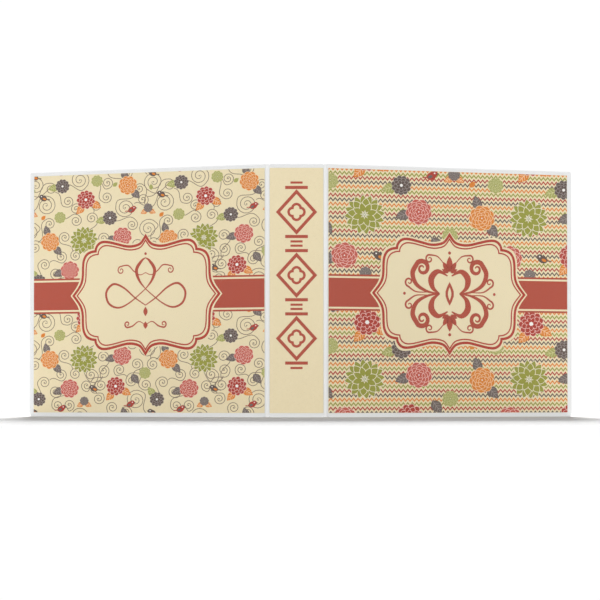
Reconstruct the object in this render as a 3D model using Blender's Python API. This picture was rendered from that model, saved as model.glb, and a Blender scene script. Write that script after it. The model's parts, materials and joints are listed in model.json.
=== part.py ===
"""A three-ring scrapbook album with clear view pockets, standing open on its bottom edges.

Metres, +Z up. The origin is the middle of the spine's bottom edge. The outside of the album
faces -Y, the back cover lies towards -X and the front cover towards +X. Both covers are folded
back from the spine's plane, and five page protectors fan out from the rings behind it.
"""

import math

import bmesh
import bpy
from mathutils import Matrix, Vector

MM = 0.001
GAP = 0.3 * MM  # between pieces that touch on the real album

# The casing
ALBUM_HEIGHT = 335 * MM
COVER_WIDTH = 366 * MM  # from hinge line to outer edge
SPINE_WIDTH = 77 * MM  # from hinge line to hinge line
COVER_FOLDS = {  # each cover's angle from the spine's plane
    "front_cover": math.radians(23.0),
    "back_cover": math.radians(26.5),
}
HINGE_GAP = 2.2 * MM  # from hinge line to the edge of a panel
CORNER_RADIUS = 3 * MM
SKIN_RIM = 5 * MM  # width of the welded rim round a board

# Layers of a panel, from its middle plane; the outside of the album is negative
OVERLAY_LAYER = (-2.95 * MM, -2.7 * MM)
OVERLAY_WELD = -2.1 * MM
INSERT_LAYER = (-2.4 * MM, -2.1 * MM)
SKIN_LAYER = (-1.8 * MM, -1.4 * MM)
BOARD_LAYER = (-1.1 * MM, 1.1 * MM)
LINER_LAYER = (1.4 * MM, 1.8 * MM)
HINGE_WEB_LAYER = (-0.25 * MM, 0.25 * MM)

# Clear pocket and its printed insert
OVERLAY_INSET = 0.8 * MM
OVERLAY_RIM = 4 * MM
OVERLAY_HINGE_RIM = 0.5 * MM
INSERT_FROM_HINGE = 3.0 * MM
INSERT_FROM_EDGE = 6.6 * MM
INSERT_FROM_TOP = 5.2 * MM
INSERT_FROM_BOTTOM = 5.5 * MM

# Ring mechanism, in the spine's frame
MECHANISM_MIDDLE = ALBUM_HEIGHT / 2
PLATE_LENGTH = 270 * MM
PLATE_HALF_WIDTH = 19.5 * MM
PLATE_THICKNESS = 1 * MM
PLATE_FLOOR = LINER_LAYER[1] + GAP
PLATE_SHOULDER = 6 * MM  # height at which the arch springs from the side walls
PLATE_CROWN = 10.8 * MM
PLATE_LIP = 1.6 * MM
BLADE_LAYER = (3.7 * MM, 4.7 * MM)
BLADE_EDGES = (0.4 * MM, 18.1 * MM)
BLADE_SHORTER = 7.5 * MM  # than the plate, at each end
BLADE_PIVOT = (17.6 * MM, 4.2 * MM)
RING_SPACING = 108 * MM
RING_RADIUS = 22 * MM
RING_CENTRE = 27.5 * MM
WIRE_RADIUS = 1.5 * MM
WIRE_FOOT = 13.4 * MM
WIRE_SLOT = (11.3 * MM, 16.6 * MM)  # in the plate, for a half ring's foot
WIRE_SLOT_HALF_WIDTH = 2.1 * MM
RING_HEIGHTS = {
    "lower": MECHANISM_MIDDLE - RING_SPACING,
    "middle": MECHANISM_MIDDLE,
    "upper": MECHANISM_MIDDLE + RING_SPACING,
}
RIVET_FROM_MIDDLE = 117 * MM
RIVET_RADIUS = 2.1 * MM
RIVET_HOLE = 2.5 * MM
RIVET_HEAD = 4.5 * MM
RIVET_DOME = 4.2 * MM
RIVET_NOTCH = 3.2 * MM  # in the blades, round a rivet
LEVER_PIN_HEIGHT = 4.7 * MM
LEVER_PIN_FROM_END = 4 * MM
LEVER_PIN_RADIUS = 1.2 * MM
LEVER_BORE = 1.5 * MM
LEVER_BARREL = (6 * MM, 2.3 * MM)  # half length and radius
LEVER_ARM = 6.5 * MM
PADDLE_HALF_WIDTH = 10 * MM
PADDLE_LENGTH = 22 * MM
PADDLE_HALF_THICKNESS = 0.9 * MM
PADDLE_CORNER = 7 * MM
PADDLE_SLOPE = math.radians(58)

# Page protectors
PAGE_WIDTH = 321 * MM
PAGE_HEIGHT = 312 * MM
STRIP_WIDTH = 13 * MM
STRIP_HALF = 0.6 * MM
PAGE_HOLE = 3.5 * MM
HOLE_FROM_EDGE = 6.5 * MM
CARD_SIZE = 304.8 * MM
PAGE_SEAM = 0.9 * MM
# name: (angle from +Y towards +X, offset towards the back cover, ring half that carries it)
PAGES = {
    "page_1": (math.radians(-54), 10 * MM, "left"),
    "page_2": (math.radians(-44), 5 * MM, "left"),
    "page_3": (math.radians(0), 0 * MM, "right"),
    "page_4": (math.radians(44), -5 * MM, "right"),
    "page_5": (math.radians(54), -10 * MM, "right"),
}

SIDES = {"left": -1, "right": 1}
X, Y, Z = Vector((1, 0, 0)), Vector((0, 1, 0)), Vector((0, 0, 1))

FINISHES = {
    "vinyl": ("EEEEEE", 0.45, 0.0, 1.0),
    "clear_vinyl": ("F4F6F6", 0.12, 0.0, 0.25),
    "board": ("B9B2A6", 0.9, 0.0, 1.0),
    "printed_paper": ("EBDFBA", 0.7, 0.0, 1.0),
    "card": ("F4F1E8", 0.85, 0.0, 1.0),
    "film": ("F2F5F7", 0.1, 0.0, 0.25),
    "nickel": ("C9CACB", 0.22, 1.0, 1.0),
    "steel": ("A7A9AB", 0.38, 1.0, 1.0),
}


def linear(channel):
    value = int(channel, 16) / 255
    return value / 12.92 if value <= 0.04045 else ((value + 0.055) / 1.055) ** 2.4


def material(name, finish):
    colour, roughness, metallic, alpha = FINISHES[finish]
    made = bpy.data.materials.new(name)
    made.use_nodes = True
    shader = made.node_tree.nodes["Principled BSDF"]
    rgb = [linear(colour[i : i + 2]) for i in (0, 2, 4)]
    shader.inputs["Base Color"].default_value = (*rgb, 1)
    shader.inputs["Roughness"].default_value = roughness
    shader.inputs["Metallic"].default_value = metallic
    shader.inputs["Alpha"].default_value = alpha
    return made


def add_loft(mesh, loops):
    """Adds the closed solid whose skin runs through loops of equal length, capped at both ends."""
    rings = [[mesh.verts.new(point) for point in loop] for loop in loops]
    for low, high in zip(rings, rings[1:]):
        for i in range(len(low)):
            mesh.faces.new((low[i - 1], low[i], high[i], high[i - 1]))
    mesh.faces.new(rings[0])
    mesh.faces.new(rings[-1])


def add_object(name, lofts, parent=None):
    mesh = bmesh.new()
    for loops in lofts:
        add_loft(mesh, loops)
    bmesh.ops.recalc_face_normals(mesh, faces=mesh.faces)
    data = bpy.data.meshes.new(name)
    mesh.to_mesh(data)
    mesh.free()
    made = bpy.data.objects.new(name, data)
    made.parent = parent
    bpy.context.collection.objects.link(made)
    return made


def solid(name, finish, lofts, parent=None):
    made = add_object(name, lofts, parent)
    made.data.materials.append(material(name, finish))
    made.data.shade_smooth()
    made.data.set_sharp_from_angle(angle=math.radians(35))
    return made


def combine(target, operation, lofts):
    """Joins lofts to the target, or cuts them from it, with a hidden helper object."""
    helper = add_object(f"{target.name}_{operation.lower()}", lofts, target.parent)
    helper.matrix_parent_inverse = target.matrix_parent_inverse
    helper.hide_render = True
    helper.display_type = "WIRE"
    modifier = target.modifiers.new(helper.name, "BOOLEAN")
    modifier.operation = operation
    modifier.object = helper


def carry(piece, holder):
    """Parents a piece to a pivot, and leaves it where its album coordinates put it."""
    piece.parent = holder
    piece.matrix_parent_inverse = Matrix.Translation(-holder.location)


def pivot(name, location, turn=0.0, parent=None):
    """An empty on a joint's axis, which carries the pieces that turn or slide with it."""
    made = bpy.data.objects.new(name, None)
    made.empty_display_size = 0.02
    made.location = location
    made.rotation_euler.z = turn
    made.parent = parent
    bpy.context.collection.objects.link(made)
    return made


def arc(centre, radius, start, end, steps):
    """Points of an arc in a plane, from the start angle to the end angle in radians."""
    angles = [start + (end - start) * i / steps for i in range(steps + 1)]
    return [(centre[0] + radius * math.cos(a), centre[1] + radius * math.sin(a)) for a in angles]


def rounded_rectangle(low, high, radius, steps=4):
    corners = (
        ((high[0] - radius, high[1] - radius), 0.0),
        ((low[0] + radius, high[1] - radius), 0.5),
        ((low[0] + radius, low[1] + radius), 1.0),
        ((high[0] - radius, low[1] + radius), 1.5),
    )
    points = []
    for centre, start in corners:
        points += arc(centre, radius, start * math.pi, (start + 0.5) * math.pi, steps)
    return points


def upright(outline, depth):
    """The outline, given as x and z, at one depth along y."""
    return [Vector((x, depth, z)) for x, z in outline]


def slab(outline, layer):
    return [upright(outline, depth) for depth in layer]


def rectangle_slab(low, high, layer, radius=0.5 * MM):
    return slab(rounded_rectangle(low, high, radius, 2), layer)


def rod(start, end, radius, sides=16):
    """A cylinder from start to end."""
    along = (end - start).normalized()
    across = along.orthogonal().normalized()
    other = along.cross(across)
    angles = [2 * math.pi * i / sides for i in range(sides)]
    circle = [radius * (math.cos(a) * across + math.sin(a) * other) for a in angles]
    return [[end_point + offset for offset in circle] for end_point in (start, end)]


def turned(foot, along, profile, sides=20):
    """A solid turned about the line from foot, through (distance, radius) pairs."""
    across = along.orthogonal().normalized()
    other = along.cross(across)
    angles = [2 * math.pi * i / sides for i in range(sides)]
    circle = [math.cos(a) * across + math.sin(a) * other for a in angles]
    return [[foot + distance * along + radius * offset for offset in circle] for distance, radius in profile]


def tray(low, high):
    """A skin with a rim all round, open on the inside of the album, that a board lies in."""
    outside = rounded_rectangle(low, high, CORNER_RADIUS)
    inner_low = (low[0] + SKIN_RIM, low[1] + SKIN_RIM)
    inner_high = (high[0] - SKIN_RIM, high[1] - SKIN_RIM)
    inside = rounded_rectangle(inner_low, inner_high, CORNER_RADIUS)
    return [
        upright(outside, SKIN_LAYER[0]),
        upright(outside, BOARD_LAYER[1]),
        upright(inside, BOARD_LAYER[1]),
        upright(inside, SKIN_LAYER[1]),
    ]


def casing_panel(name, low, high, parent=None):
    """One panel, whose outline runs from low to high. Returns its board and its liner."""
    solid(f"{name}_outer_skin", "vinyl", [tray(low, high)], parent)
    inset = SKIN_RIM + GAP
    board_low, board_high = (low[0] + inset, low[1] + inset), (high[0] - inset, high[1] - inset)
    board_outline = rounded_rectangle(board_low, board_high, CORNER_RADIUS)
    board = solid(f"{name}_board", "board", [slab(board_outline, BOARD_LAYER)], parent)
    liner_low, liner_high = (low[0] + GAP, low[1] + GAP), (high[0] - GAP, high[1] - GAP)
    liner_outline = rounded_rectangle(liner_low, liner_high, CORNER_RADIUS)
    liner = solid(f"{name}_liner", "vinyl", [slab(liner_outline, LINER_LAYER)], parent)
    return board, liner


def open_topped_pocket(name, finish, low, high, sheet, weld, rims, parent):
    """A clear sheet with welded rims towards the weld depth on its left, bottom and right.

    The rims are the widths of the left, bottom and right weld.
    """
    left, bottom, right = rims
    whole = (min(*sheet, weld), max(*sheet, weld))
    made = solid(name, finish, [rectangle_slab(low, high, whole)], parent)
    inner_face = sheet[1] if weld > sheet[1] else sheet[0]
    beyond = weld + (1 * MM if weld > sheet[1] else -1 * MM)
    hollow_low = (low[0] + left, low[1] + bottom)
    hollow_high = (high[0] - right, high[1] + 1 * MM)
    combine(made, "DIFFERENCE", [rectangle_slab(hollow_low, hollow_high, (inner_face, beyond), 0.2 * MM)])
    return made


def covers_and_spine():
    top = ALBUM_HEIGHT
    half_spine = SPINE_WIDTH / 2 - HINGE_GAP
    board, liner = casing_panel("spine", (-half_spine, 0), (half_spine, top))
    for piece in (board, liner):
        combine(piece, "DIFFERENCE", rivet_holes(RIVET_HOLE, piece is board))
    open_topped_pocket(
        "spine_clear_overlay",
        "clear_vinyl",
        (-half_spine, OVERLAY_INSET),
        (half_spine, top - OVERLAY_INSET),
        OVERLAY_LAYER,
        OVERLAY_WELD,
        (OVERLAY_HINGE_RIM, OVERLAY_RIM, OVERLAY_HINGE_RIM),
        None,
    )
    half_insert = SPINE_WIDTH / 2 - INSERT_FROM_HINGE
    insert_low = (-half_insert, INSERT_FROM_BOTTOM)
    insert_high = (half_insert, top - INSERT_FROM_TOP)
    solid("spine_insert", "printed_paper", [rectangle_slab(insert_low, insert_high, INSERT_LAYER)])

    for name, side in (("back_cover", -1), ("front_cover", 1)):
        hinge_line = side * SPINE_WIDTH / 2
        hinge = pivot(f"{name}_hinge", (hinge_line, 0, 0), side * COVER_FOLDS[name])
        inner, outer = side * HINGE_GAP, side * COVER_WIDTH
        casing_panel(name, (min(inner, outer), 0), (max(inner, outer), top), hinge)
        overlay_outer = outer - side * OVERLAY_INSET
        rims = (OVERLAY_HINGE_RIM, OVERLAY_RIM, OVERLAY_RIM)
        open_topped_pocket(
            f"{name}_clear_overlay",
            "clear_vinyl",
            (min(inner, overlay_outer), OVERLAY_INSET),
            (max(inner, overlay_outer), top - OVERLAY_INSET),
            OVERLAY_LAYER,
            OVERLAY_WELD,
            rims if side > 0 else rims[::-1],
            hinge,
        )
        insert_ends = sorted((side * INSERT_FROM_HINGE, outer - side * INSERT_FROM_EDGE))
        insert_low = (insert_ends[0], INSERT_FROM_BOTTOM)
        insert_high = (insert_ends[1], top - INSERT_FROM_TOP)
        solid(f"{name}_insert", "printed_paper", [rectangle_slab(insert_low, insert_high, INSERT_LAYER)], hinge)
        web_low = (hinge_line - HINGE_GAP + GAP, 0.5 * MM)
        web_high = (hinge_line + HINGE_GAP - GAP, top - 0.5 * MM)
        solid(f"{name}_hinge_web", "vinyl", [rectangle_slab(web_low, web_high, HINGE_WEB_LAYER)])


def rivet_heights():
    return (MECHANISM_MIDDLE - RIVET_FROM_MIDDLE, MECHANISM_MIDDLE + RIVET_FROM_MIDDLE)


def rivet_holes(radius, with_counterbore=False):
    """Cutters for the rivets' holes, and for their heads on the board's outside."""
    lofts = []
    for height in rivet_heights():
        profile = [(-3 * MM, radius), (20 * MM, radius)]
        if with_counterbore:
            head = RIVET_HEAD + GAP
            profile = [(-3 * MM, head), (-0.05 * MM, head), (-0.05 * MM, radius), (20 * MM, radius)]
        lofts.append(turned(height * Z, Y, profile))
    return lofts


def plate_profile():
    """The cover plate's section as (x, y): an arch on two side walls with lips turned inwards."""

    def arch(half_width, shoulder, crown):
        rise = crown - shoulder
        radius = (half_width**2 + rise**2) / (2 * rise)
        opening = math.asin(half_width / radius)
        return arc((0, crown - radius), radius, math.pi / 2 - opening, math.pi / 2 + opening, 14)

    inner = PLATE_HALF_WIDTH - PLATE_THICKNESS
    lip_end = inner - PLATE_LIP
    lip_top = PLATE_FLOOR + 0.9 * MM
    outside = arch(PLATE_HALF_WIDTH, PLATE_SHOULDER, PLATE_CROWN)
    inside = arch(inner, PLATE_SHOULDER - 0.6 * MM, PLATE_CROWN - PLATE_THICKNESS)
    left_lip = [
        (-PLATE_HALF_WIDTH, PLATE_FLOOR),
        (-lip_end, PLATE_FLOOR),
        (-lip_end, lip_top),
        (-inner, lip_top),
    ]
    right_lip = [(-x, y) for x, y in reversed(left_lip)]
    return outside + left_lip + inside[::-1] + right_lip


def cover_plate():
    low = MECHANISM_MIDDLE - PLATE_LENGTH / 2
    high = MECHANISM_MIDDLE + PLATE_LENGTH / 2
    loops = [[Vector((x, y, z)) for x, y in plate_profile()] for z in (low, high)]
    plate = solid("ring_cover_plate", "nickel", [loops])
    cutters = rivet_holes(RIVET_HOLE)
    for height in RING_HEIGHTS.values():
        for side in SIDES.values():
            ends = sorted(side * end for end in WIRE_SLOT)
            low_corner = (ends[0], height - WIRE_SLOT_HALF_WIDTH)
            high_corner = (ends[1], height + WIRE_SLOT_HALF_WIDTH)
            cutters.append(rectangle_slab(low_corner, high_corner, (5.6 * MM, 13 * MM), 1.5 * MM))
    for height in (low + LEVER_PIN_FROM_END, high - LEVER_PIN_FROM_END):
        start = Vector((-25 * MM, LEVER_PIN_HEIGHT, height))
        cutters.append(rod(start, start + 50 * MM * X, LEVER_BORE))
    combine(plate, "DIFFERENCE", cutters)

    head_layers = [(-1.05 * MM, RIVET_HEAD), (-0.35 * MM, RIVET_HEAD), (-0.35 * MM, RIVET_RADIUS)]
    clinch = PLATE_CROWN + GAP
    dome = [
        (clinch, RIVET_RADIUS),
        (clinch, RIVET_DOME),
        (clinch + 0.5 * MM, RIVET_DOME),
        (clinch + 1.1 * MM, 3.2 * MM),
        (clinch + 1.4 * MM, 1.6 * MM),
    ]
    for name, height in zip(("lower_rivet", "upper_rivet"), rivet_heights()):
        solid(name, "nickel", [turned(height * Z, Y, head_layers + dome)])


def half_ring_route(side):
    """The wire's centre line as (x, y): up through the plate, then round the ring to its tip."""
    start, end = math.asin(16 * MM / RING_RADIUS), math.pi - math.asin(0.15 * MM / RING_RADIUS)
    circle = arc((0, 0), RING_RADIUS, start - math.pi / 2, end - math.pi / 2, 22)
    circle = [(x, RING_CENTRE + y) for x, y in circle]
    foot, bend_start = (WIRE_FOOT, 3.4 * MM), (WIRE_FOOT, 7.6 * MM)
    bend_end = circle[0]
    rise = (bend_end[0] - WIRE_FOOT) * math.tan(start)
    corner = (WIRE_FOOT, bend_end[1] - rise)
    bend = []
    for i in range(1, 6):
        t = i / 6
        weights = ((1 - t) ** 2, 2 * t * (1 - t), t**2)
        nodes = (bend_start, corner, bend_end)
        bend.append(tuple(sum(w * node[k] for w, node in zip(weights, nodes)) for k in (0, 1)))
    return [(side * x, y) for x, y in [foot, bend_start, *bend, *circle]]


def half_rings():
    """Each blade lies under the plate and carries three half rings; both turn on the plate's lips."""
    pivots = {}
    blade_low = MECHANISM_MIDDLE - PLATE_LENGTH / 2 + BLADE_SHORTER
    blade_high = MECHANISM_MIDDLE + PLATE_LENGTH / 2 - BLADE_SHORTER
    for name, side in SIDES.items():
        holder = pivot(f"{name}_rings_pivot", (side * BLADE_PIVOT[0], BLADE_PIVOT[1], 0))
        pivots[name] = holder
        inner, outer = sorted(side * edge for edge in BLADE_EDGES)
        blade = solid(
            f"{name}_blade", "steel", [rectangle_slab((inner, blade_low), (outer, blade_high), BLADE_LAYER)]
        )
        carry(blade, holder)
        notch = [(0, RIVET_NOTCH), (9 * MM, RIVET_NOTCH)]
        notches = [turned(height * Z, Y, notch) for height in rivet_heights()]
        for height in RING_HEIGHTS.values():
            foot = Vector((side * WIRE_FOOT, 0, height))
            notches.append(rod(foot, foot + 9 * MM * Y, WIRE_RADIUS + GAP))
        combine(blade, "DIFFERENCE", notches)
        for place, height in RING_HEIGHTS.items():
            carry(half_ring(f"{name}_ring_{place}", side, height), holder)
    return pivots


def half_ring(name, side, height):
    curve = bpy.data.curves.new(name, "CURVE")
    curve.dimensions = "3D"
    curve.bevel_depth = WIRE_RADIUS
    curve.bevel_resolution = 3
    curve.use_fill_caps = True
    curve.materials.append(material(name, "nickel"))
    route = half_ring_route(side)
    spline = curve.splines.new("POLY")
    spline.points.add(len(route) - 1)
    for point, (x, y) in zip(spline.points, route):
        point.co = (x, y, height, 1)
    ring = bpy.data.objects.new(name, curve)
    bpy.context.collection.objects.link(ring)
    return ring


def levers():
    """At each end a lever turns on a pin; its finger lifts both blades and so opens the rings."""
    for name, facing in (("bottom", -1), ("top", 1)):
        height = MECHANISM_MIDDLE + facing * (PLATE_LENGTH / 2 - LEVER_PIN_FROM_END)
        start = Vector((-PLATE_HALF_WIDTH, LEVER_PIN_HEIGHT, height))
        pin = rod(start, start + 2 * PLATE_HALF_WIDTH * X, LEVER_PIN_RADIUS)
        solid(f"{name}_lever_pin", "steel", [pin])

        holder = pivot(f"{name}_lever_pivot", (0, LEVER_PIN_HEIGHT, height))
        out = facing * Z
        half_length, radius = LEVER_BARREL
        barrel = rod(-half_length * X, half_length * X, radius, 20)
        lever = solid(f"{name}_lever", "nickel", [barrel], holder)
        finger = lever_block(out, 2.5 * MM, (-7 * MM, 0), (-2.3 * MM, -1.4 * MM))
        arm = lever_block(out, 5 * MM, (0, LEVER_ARM), (0.2 * MM, 1.8 * MM))
        combine(lever, "UNION", [finger])
        combine(lever, "UNION", [arm])
        combine(lever, "UNION", [lever_paddle(out)])
        combine(lever, "DIFFERENCE", [rod(-12 * MM * X, 12 * MM * X, LEVER_BORE, 20)])


def lever_block(out, half_width, along, across):
    """A box from along[0] to along[1] outwards from the pin, and from across[0] to across[1] in y."""
    corners = [(along[0], across[0]), (along[1], across[0]), (along[1], across[1]), (along[0], across[1])]
    return [[x * X + a * out + y * Y for a, y in corners] for x in (-half_width, half_width)]


def lever_paddle(out):
    """The finger plate, which rises steeply from the arm and has a rounded outer end."""
    foot = 6 * MM * out + 1 * MM * Y
    rise = math.cos(PADDLE_SLOPE) * out + math.sin(PADDLE_SLOPE) * Y
    normal = math.cos(PADDLE_SLOPE) * Y - math.sin(PADDLE_SLOPE) * out
    low, high = (-PADDLE_HALF_WIDTH, -0.6 * MM), (PADDLE_HALF_WIDTH, PADDLE_LENGTH)
    tip = rounded_rectangle(low, high, PADDLE_CORNER, 6)
    outline = [point for point in tip if point[1] > PADDLE_LENGTH / 2]
    outline += [low, (high[0], low[1])]
    depths = (-PADDLE_HALF_THICKNESS, PADDLE_HALF_THICKNESS)
    return [[foot + x * X + s * rise + depth * normal for x, s in outline] for depth in depths]


def pages(ring_pivots):
    """Page protectors: two films and a punched strip, with a card between the films."""
    low = MECHANISM_MIDDLE - PAGE_HEIGHT / 2
    high = MECHANISM_MIDDLE + PAGE_HEIGHT / 2
    for name, (angle, offset, side) in PAGES.items():
        carrier = ring_pivots[side]
        turn = math.pi / 2 - angle
        holder = pivot(f"{name}_turn", Vector((0, RING_CENTRE, 0)) - carrier.location, turn, carrier)
        root = math.sqrt(RING_RADIUS**2 - offset**2) - HOLE_FROM_EDGE
        strip_layer = (offset - STRIP_HALF, offset + STRIP_HALF)
        strip_end = root + STRIP_WIDTH
        strip = solid(
            f"{name}_binding_strip", "vinyl", [rectangle_slab((root, low), (strip_end, high), strip_layer)], holder
        )
        holes = []
        for height in RING_HEIGHTS.values():
            centre = Vector((root + HOLE_FROM_EDGE, offset - 3 * MM, height))
            holes.append(rod(centre, centre + 6 * MM * Y, PAGE_HOLE))
        combine(strip, "DIFFERENCE", holes)

        film_low, film_high = (strip_end + GAP, low), (root + PAGE_WIDTH, high)
        back_layer = (offset + 0.5 * MM, offset + 0.7 * MM)
        solid(f"{name}_back_film", "film", [rectangle_slab(film_low, film_high, back_layer)], holder)
        open_topped_pocket(
            f"{name}_front_film",
            "film",
            film_low,
            film_high,
            (offset - 0.7 * MM, offset - 0.5 * MM),
            offset + 0.2 * MM,
            (PAGE_SEAM, PAGE_SEAM, PAGE_SEAM),
            holder,
        )
        card_low = (film_low[0] + PAGE_SEAM + 0.4 * MM, MECHANISM_MIDDLE - CARD_SIZE / 2)
        card_high = (card_low[0] + CARD_SIZE, card_low[1] + CARD_SIZE)
        card_layer = (offset - 0.15 * MM, offset + 0.15 * MM)
        solid(f"{name}_card", "card", [rectangle_slab(card_low, card_high, card_layer)], holder)


def clear_scene():
    for old in list(bpy.data.objects):
        bpy.data.objects.remove(old)


def main():
    clear_scene()
    covers_and_spine()
    cover_plate()
    levers()
    pages(half_rings())


main()
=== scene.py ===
"""A ring-bound scrapbook album in white vinyl, standing open, with printed covers and spine."""

import json
import math
import random

import bmesh
import bpy
from mathutils import Matrix, Vector


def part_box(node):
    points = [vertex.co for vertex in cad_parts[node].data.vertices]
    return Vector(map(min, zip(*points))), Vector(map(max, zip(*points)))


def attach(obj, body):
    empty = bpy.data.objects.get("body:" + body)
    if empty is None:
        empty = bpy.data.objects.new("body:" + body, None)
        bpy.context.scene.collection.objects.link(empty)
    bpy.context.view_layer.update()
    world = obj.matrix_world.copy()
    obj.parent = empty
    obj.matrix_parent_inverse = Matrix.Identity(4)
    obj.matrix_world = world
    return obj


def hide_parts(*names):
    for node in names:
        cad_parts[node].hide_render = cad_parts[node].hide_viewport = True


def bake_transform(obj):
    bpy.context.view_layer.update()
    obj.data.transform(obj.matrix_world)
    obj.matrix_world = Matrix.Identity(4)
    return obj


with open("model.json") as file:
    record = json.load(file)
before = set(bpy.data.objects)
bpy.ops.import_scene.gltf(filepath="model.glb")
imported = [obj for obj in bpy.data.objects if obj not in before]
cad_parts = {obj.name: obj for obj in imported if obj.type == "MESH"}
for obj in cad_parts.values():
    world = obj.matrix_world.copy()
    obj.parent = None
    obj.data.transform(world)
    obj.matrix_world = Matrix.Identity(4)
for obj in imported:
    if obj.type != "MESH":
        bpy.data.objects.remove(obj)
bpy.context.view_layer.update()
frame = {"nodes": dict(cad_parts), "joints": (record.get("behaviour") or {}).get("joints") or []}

nodes = frame["nodes"]
joints = {joint["name"]: joint for joint in frame["joints"]}
MM = 0.001

# --- Studio ---
# A pale floor in a white room, with a soft box at each side of the camera. A tall light behind
# the album falls only on the floor, so a soft shadow lies along the album's bottom edges.
ROOM_LIGHT = 0.5
BACKDROP_LIGHT = 1.02
FLOOR_SIDE = 3.0  # from the middle
FLOOR_FRONT = 1.2
FLOOR_BACK = 0.8
CAMERA_DISTANCE = 3.99
CAMERA_HEIGHT = 0.03
CAMERA_SIDE = 0.0046
PICTURE_WIDTH = 0.793  # what the camera takes in at the spine
AIM_HEIGHT = 0.1549
SENSOR_WIDTH = 36  # mm
LIGHTS = {  # each one's place, what it faces, its width and height, and its watts
    "left_softbox": ((-2.2, -3.2, 0.5), (0, 0, 0.15), (1.6, 1.0), 50),
    "right_softbox": ((2.2, -3.2, 0.5), (0, 0, 0.15), (1.6, 1.0), 38),
    "back_light": ((0, 7.0, 2.7), (0, -0.4, 0), (2.0, 3.4), 1650),
}


def srgb(hex_colour):
    """The linear colour of an sRGB hex value."""
    channels = [int(hex_colour[i : i + 2], 16) / 255 for i in (0, 2, 4)]
    return (*[c / 12.92 if c <= 0.04045 else ((c + 0.055) / 1.055) ** 2.4 for c in channels], 1)


def add_node(tree, kind, inputs=None, **settings):
    """Adds a node. An input given as a socket is linked, and any other value is set."""
    added = tree.nodes.new(kind)
    for key, value in settings.items():
        setattr(added, key, value)
    for key, value in (inputs or {}).items():
        if isinstance(value, bpy.types.NodeSocket):
            tree.links.new(value, added.inputs[key])
        else:
            added.inputs[key].default_value = value
    return added


def add_material(name, colour, roughness, **sockets):
    """A Principled material, with its node tree and its shader."""
    made = bpy.data.materials.new(name)
    made.use_nodes = True
    shader = made.node_tree.nodes["Principled BSDF"]
    shader.inputs["Base Color"].default_value = srgb(colour)
    shader.inputs["Roughness"].default_value = roughness
    for key, value in sockets.items():
        shader.inputs[key.replace("_", " ")].default_value = value
    return made, made.node_tree, shader


def add_piece(name, shape, *materials):
    """An object made of a mesh, or of a bmesh, which is then freed."""
    mesh = shape
    if isinstance(shape, bmesh.types.BMesh):
        mesh = bpy.data.meshes.new(name)
        shape.to_mesh(mesh)
        shape.free()
    made = bpy.data.objects.new(name, mesh)
    bpy.context.scene.collection.objects.link(made)
    for material in materials:
        mesh.materials.append(material)
    return made


def add_facing(name, data, place, target):
    """The camera or a light, at a place and turned to its target."""
    made = bpy.data.objects.new(name, data)
    made.location = place
    made.rotation_euler = (Vector(target) - Vector(place)).to_track_quat("-Z", "Y").to_euler()
    bpy.context.scene.collection.objects.link(made)
    return made


camera_data = bpy.data.cameras.new("camera")
camera_data.sensor_width = SENSOR_WIDTH
camera_data.lens = SENSOR_WIDTH * CAMERA_DISTANCE / PICTURE_WIDTH
camera_data.clip_end = 200
camera_place = (CAMERA_SIDE, -CAMERA_DISTANCE, CAMERA_HEIGHT)
bpy.context.scene.camera = add_facing("camera", camera_data, camera_place, (CAMERA_SIDE, 0, AIM_HEIGHT))

world = bpy.data.worlds.new("studio")
world.use_nodes = True
backdrop = world.node_tree.nodes["Background"]
backdrop.inputs["Color"].default_value = srgb("FFFFFF")
seen = add_node(world.node_tree, "ShaderNodeLightPath").outputs["Is Camera Ray"]
brightness = {"Value": seen, "To Min": ROOM_LIGHT, "To Max": BACKDROP_LIGHT}
strength = add_node(world.node_tree, "ShaderNodeMapRange", brightness)
world.node_tree.links.new(strength.outputs["Result"], backdrop.inputs["Strength"])
bpy.context.scene.world = world
bpy.context.scene.view_settings.view_transform = "Standard"

lights = {}
for name, (place, target, size, power) in LIGHTS.items():
    lamp = bpy.data.lights.new(name, "AREA")
    lamp.shape, lamp.size, lamp.size_y = "RECTANGLE", *size
    lamp.energy = power
    lights[name] = add_facing(name, lamp, place, target)

floor_mesh = bpy.data.meshes.new("floor")
floor_corners = [(-FLOOR_SIDE, -FLOOR_FRONT, 0), (FLOOR_SIDE, -FLOOR_FRONT, 0)]
floor_corners += [(FLOOR_SIDE, FLOOR_BACK, 0), (-FLOOR_SIDE, FLOOR_BACK, 0)]
floor_mesh.from_pydata(floor_corners, [], [(0, 1, 2, 3)])
floor_paper = add_material("matt_pale_backdrop", "CBCBCB", 0.95)[0]
floor = add_piece("floor", floor_mesh, floor_paper)
lit_by_back_light = bpy.data.collections.new("lit_by_back_light")
lit_by_back_light.objects.link(floor)
lights["back_light"].light_linking.receiver_collection = lit_by_back_light

# --- Vinyl casing ---
# White plasticised PVC sheet, heat-welded round each board. Calendered vinyl has a soft satin
# sheen and a very fine leather-like grain pressed into it.
VINYL_GRAIN = 0.9 * MM
GRAIN_DEPTH = 0.05 * MM
VINYL_WAVE = 71 * MM


def paint(node_name, material):
    """Gives a CAD node its finish."""
    piece = nodes[node_name]
    piece.data.materials.clear()
    piece.data.materials.append(material)


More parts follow.
